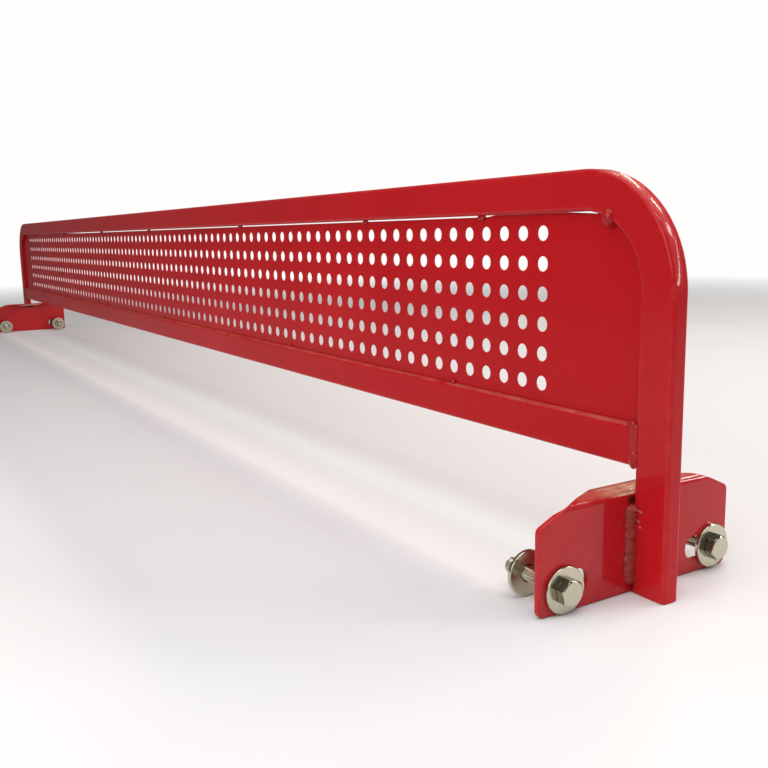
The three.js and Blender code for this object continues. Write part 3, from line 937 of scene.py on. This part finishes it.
class Fastener:
    """Where a bolt and what is on it sit, read from the CAD nodes."""

    def __init__(self, name):
        self.name = name
        self.end = 1 if name.startswith("right") else -1
        low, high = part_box(f"flat_washer_{name}")
        centre = (low + high) / 2
        place = Matrix.Translation((self.end * PLATE_HIGH.x, centre.y, centre.z))
        turn = Matrix.Rotation(0 if self.end > 0 else math.pi, 4, "Z")
        self.matrix = place @ turn

    def span(self, kind):
        """Lowest and highest x of a node on this fastener's own axis."""
        low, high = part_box(f"{kind}_{self.name}")
        ends = [self.end * corner.x - PLATE_HIGH.x for corner in (low, high)]
        return min(ends), max(ends)

    def rim(self, kind):
        """Radius of a round node."""
        low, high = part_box(f"{kind}_{self.name}")
        return (high.z - low.z) / 2

    def turn(self, kind):
        """Angle of one of a hexagonal node's corners, in degrees."""
        back = self.matrix.inverted()
        points = [back @ v.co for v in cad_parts[f"{kind}_{self.name}"].data.vertices]
        corner = max(points, key=lambda p: p.y**2 + p.z**2)
        return math.degrees(math.atan2(corner.z, corner.y))


def hexagon(turn):
    """Points of the hexagon, with slightly rounded corners, as (angle, radius)."""
    reach = HEX_ACROSS_FLATS / math.sqrt(3)
    corners = []
    for i in range(6):
        angle = math.radians(60 * i + turn)
        corners.append((reach * math.cos(angle), reach * math.sin(angle), HEX_CORNER))
    outline = rounded_outline(corners, 0, HEX_CORNER_STEPS)
    points = with_flats(outline, HEX_CORNER_STEPS, HEX_FACE_STEPS)
    return [(math.atan2(p.y, p.x), p.length) for p in points]


def hex_rings(bm, turn, low, high, chamfer_low, chamfer_high):
    """Rings up a hexagon whose corners are turned off by a cone at one end or both."""
    outline = hexagon(turn)
    corner = HEX_ACROSS_FLATS / math.sqrt(3)
    face = HEX_ACROSS_FLATS / 2 - HEX_CHAMFER
    slope = math.tan(math.radians(30))
    depth = (corner - face) * slope
    levels = []
    for i in range(HEX_CHAMFER_STEPS + 1):
        into = depth * i / HEX_CHAMFER_STEPS
        levels.append((into, face + into / slope))
    rings = []

    def add(x, radius):
        points = []
        for a, r in outline:
            reach = min(r, radius)
            points.append((x, reach * math.cos(a), reach * math.sin(a)))
        rings.append(add_ring(bm, points))

    if chamfer_low:
        add(low, face - HEX_EASE)
        for into, radius in levels:
            add(low + HEX_EASE * 0.3 + into, radius)
    else:
        add(low, corner)
    if chamfer_high:
        for into, radius in reversed(levels):
            add(high - HEX_EASE * 0.3 - into, radius)
        add(high, face - HEX_EASE)
    else:
        add(high, corner)
    return rings


def thread_radius(x, angle, major, minor):
    """Radius of a right-handed thread about X at a place along it and round it."""
    phase = (x / THREAD_PITCH - angle / (2 * math.pi)) % 1
    height = 1 - abs(2 * phase - 1)
    return minor + (major - minor) * held(1.35 * height - 0.12)


def thread_rings(bm, start, end, major, minor, angles):
    """Rings of a threaded surface from start to end."""
    steps = max(2, round(abs(end - start) / THREAD_PITCH * THREAD_STEPS))
    rings = []
    for i in range(steps + 1):
        x = start + (end - start) * i / steps
        points = []
        for angle in angles:
            radius = thread_radius(x, angle, major, minor)
            points.append((x, radius * math.cos(angle), radius * math.sin(angle)))
        rings.append(add_ring(bm, points))
    return rings


def circle_ring(bm, x, radius, angles):
    return add_ring(bm, [(x, radius * math.cos(a), radius * math.sin(a)) for a in angles])


def bolt(place, metal):
    """Machined head with its washer face, a neck, and a thread down to the pointed tip."""
    low, high = place.span("hex_bolt")
    seat = place.span("flat_washer")[1] + TOUCHING
    head_low = high - HEAD_HEIGHT
    major, minor = SHANK_RADIUS, SHANK_RADIUS - THREAD_DEPTH
    bm = bmesh.new()
    turn = place.turn("hex_bolt")
    head = hex_rings(bm, turn, head_low, high, False, True)
    angles = [a for a, _ in hexagon(turn)]

    def rings(*sizes):
        return [circle_ring(bm, x, radius, angles) for x, radius in sizes]

    collar = rings((head_low - TOUCHING, COLLAR_RADIUS), (seat, COLLAR_RADIUS - 0.1 * MM))
    neck = rings((seat, major), (head_low - NECK_LENGTH, major))
    thread_top = head_low - NECK_LENGTH - 0.4 * MM
    thread = thread_rings(bm, thread_top, low + POINT_LENGTH, major, minor, angles)
    half_point = POINT_LENGTH / 2
    tip = rings((low + half_point, major - half_point), (low, major - POINT_LENGTH))
    dish = rings((high - 0.05 * MM, 4.2 * MM), (high - 0.12 * MM, 2.1 * MM))
    bridge(bm, dish[::-1] + head[::-1] + collar + neck + thread + tip)
    bm.faces.new(dish[-1])
    bm.faces.new(tip[-1])
    nodes = [f"hex_bolt_{place.name}"]
    name = f"zinc_bolt_{place.name}"
    make_piece(name, bm, metal, f"bolt_{place.name}", nodes, place.matrix, sharp=CRISP_HEX)


def turned_ring(bm, profile, steps):
    """A ring turned about X from a closed profile of (x, radius)."""
    angles = [2 * math.pi * i / steps for i in range(steps)]
    rings = [circle_ring(bm, x, radius, angles) for x, radius in profile]
    bridge(bm, rings, closed=True)


def washer_profile(low, high, rim):
    """Section of a stamped washer: rolled over at the front rim, crisp at the back."""
    corners = [
        (low, BORE_RADIUS, WASHER_CRISP),
        (high, BORE_RADIUS, WASHER_CRISP),
        (high, rim, WASHER_ROLLED),
        (low, rim, WASHER_CRISP),
    ]
    return [(p.x, p.y) for p in rounded_outline(corners, 0, 4)]


def washer(place, kind, metal, body, face):
    """Stamped washer that reaches to the face at x on the fastener's axis."""
    low, high = place.span(kind)
    low, high = min(low, face), max(high, face)
    bm = bmesh.new()
    turned_ring(bm, washer_profile(low, high, place.rim(kind)), WASHER_STEPS)
    name = f"zinc_{kind}_{place.name}"
    make_piece(name, bm, metal, body, [f"{kind}_{place.name}"], place.matrix)


def nut(place, metal):
    """Hexagonal nut, chamfered at both ends, with a threaded bore."""
    low, high = place.span("hex_nut")
    bm = bmesh.new()
    turn = place.turn("hex_nut")
    outside = hex_rings(bm, turn, low, high, True, True)
    angles = [a for a, _ in hexagon(turn)]
    mouth = NUT_RADIUS + THREAD_DEPTH
    groove = NUT_RADIUS + THREAD_DEPTH * 0.6
    inside = [circle_ring(bm, high, mouth, angles)]
    inside += thread_rings(bm, high - NUT_LEAD_IN, low + NUT_LEAD_IN, groove, NUT_RADIUS, angles)
    inside.append(circle_ring(bm, low, mouth, angles))
    bridge(bm, outside + inside, closed=True)
    nodes = [f"hex_nut_{place.name}"]
    name = f"zinc_nut_{place.name}"
    make_piece(name, bm, metal, f"nut_{place.name}", nodes, place.matrix, sharp=CRISP_HEX)


# ---- stage ----

FLOOR_SIZE = 14
FLOOR_DROP = 0.3 * MM
LIT_SPOT = Vector((0.6, 0, 0.05))
LIGHT_AS_SEEN = 1.0
LIGHT_GIVEN = 0.16
CAMERA_PLACE = (1.0512, -0.3170, 0.1239)
CAMERA_TURN = (58.487, -9.623, -1.06)  # yaw, pitch and roll in degrees
CAMERA_LENS = 41.76


def add_floor():
    """Plain pale floor just under the lowest point of the net."""
    height = CAD_BOX[0].z - FLOOR_DROP
    bpy.ops.mesh.primitive_plane_add(size=FLOOR_SIZE, location=(0, 0, height))
    floor = bpy.context.object
    floor.name = "studio_floor"
    floor.data.materials.append(floor_material())


def add_softbox(name, towards, distance, size, power, colour=(1, 1, 1)):
    """Area light that shines on the net's near end from a direction, at a distance."""
    light = bpy.data.lights.new(name, "AREA")
    light.shape = "RECTANGLE"
    light.size, light.size_y = size
    light.energy = power
    light.color = colour
    lamp = bpy.data.objects.new(name, light)
    bpy.context.scene.collection.objects.link(lamp)
    aim = Vector(towards).normalized()
    lamp.location = LIT_SPOT + aim * distance
    lamp.rotation_mode = "QUATERNION"
    lamp.rotation_quaternion = aim.to_track_quat("Z", "Y")


def add_world():
    """White all round as seen by the camera, and a gentler light on the object."""
    world = bpy.data.worlds.new("studio")
    bpy.context.scene.world = world
    world.use_nodes = True
    tree = world.node_tree
    background = tree.nodes["Background"]
    background.inputs["Color"].default_value = (1.0, 0.99, 0.98, 1)
    rays = tree.nodes.new("ShaderNodeLightPath")
    strength = tree.nodes.new("ShaderNodeMapRange")
    strength.inputs["To Min"].default_value = LIGHT_GIVEN
    strength.inputs["To Max"].default_value = LIGHT_AS_SEEN
    tree.links.new(rays.outputs["Is Camera Ray"], strength.inputs["Value"])
    tree.links.new(strength.outputs["Result"], background.inputs["Strength"])


def add_camera():
    """The viewer stands off the net's right end, a little below its top, and looks along it."""
    yaw, pitch, roll = (math.radians(angle) for angle in CAMERA_TURN)
    forward = math.cos(pitch)
    ahead = Vector((-math.sin(yaw) * forward, math.cos(yaw) * forward, math.sin(pitch)))
    level = Vector((math.cos(yaw), math.sin(yaw), 0))
    above = level.cross(ahead)
    right = level * math.cos(roll) + above * math.sin(roll)
    up = above * math.cos(roll) - level * math.sin(roll)
    camera = bpy.data.cameras.new("camera")
    camera.sensor_width = 36
    camera.lens = CAMERA_LENS
    camera.clip_start, camera.clip_end = 0.02, 60
    holder = bpy.data.objects.new("camera", camera)
    bpy.context.scene.collection.objects.link(holder)
    turn = Matrix((right, up, -ahead)).transposed().to_4x4()
    holder.matrix_world = Matrix.Translation(CAMERA_PLACE) @ turn
    bpy.context.scene.camera = holder


# ---- the whole net ----

def build_net():
    frame_paint = painted("red_powder_coat", coat=0.25, drawn=True)
    panel_paint = painted("red_powder_coat_panel", coat=0.07)
    # The brackets' paint has rubbed flanges and painted shade in the hollow over each post weld.
    bracket_paint = painted("red_powder_coat_scuffed_pit_shaded", coat=0.55, scuffed_with_pit_shade=True)
    weld_paint = painted("red_powder_coat_on_drops", coat=0.4, peel=0.00005, dull=0.3)
    burnt_paint = painted("red_powder_coat_burnt", coat=0.25, peel=0.00005, burnt=True)
    net_frame(frame_paint)
    bottom_rail(panel_paint)
    perforated_panel(panel_paint)
    for end_name, end in ENDS:
        bracket(end_name, end, bracket_paint)
        corner_weld(end_name, end, weld_paint)
        for side_name, side in SIDES:
            post_weld(end_name, end, side_name, side, burnt_paint)
            rail_end_weld(end_name, end, side_name, side, weld_paint)
    for node in sorted(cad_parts):
        if "tack_weld" in node:
            tack(node, weld_paint, up=node.startswith("bottom"))


def build_fasteners():
    # Heads and nuts get painted shade on their hexagons' side faces.
    head_metal = zinc_plated("zinc_bolt", painted_shade_sides=True)
    washer_metal = zinc_plated("zinc_washer", rings=True)
    for name in FASTENERS:
        place = Fastener(name)
        nut_face = place.span("hex_nut")[1] + TOUCHING
        bolt(place, head_metal)
        washer(place, "flat_washer", washer_metal, f"washer_{name}", TOUCHING)
        washer(place, "back_washer", washer_metal, f"nut_{name}", nut_face)
        nut(place, head_metal)


def light_studio():
    add_world()
    add_floor()
    warm = (1, 0.88, 0.76)
    add_softbox("softbox_above", (0.05, -0.15, 1.0), 2.2, (2.6, 2.4), 38)
    add_softbox("softbox_front", (0.25, -0.88, 0.42), 1.2, (0.9, 0.7), 6.4)
    add_softbox("softbox_strip", (0.52, -0.16, 0.84), 1.5, (1.6, 0.04), 5)
    add_softbox("softbox_behind_low", (0.6, 0.71, 0.32), 1.9, (0.08, 1.0), 6)
    add_softbox("softbox_behind_mid", (0.36, 0.72, 0.55), 1.9, (0.3, 0.22), 5)
    add_softbox("softbox_behind_high", (0.12, 0.7, 0.7), 1.9, (0.45, 0.12), 8, warm)
    add_softbox("softbox_behind_far", (-0.35, 0.7, 0.62), 1.9, (0.5, 0.16), 6, warm)


build_net()
build_fasteners()
light_studio()
add_camera()
bpy.context.scene.view_settings.view_transform = "Standard"
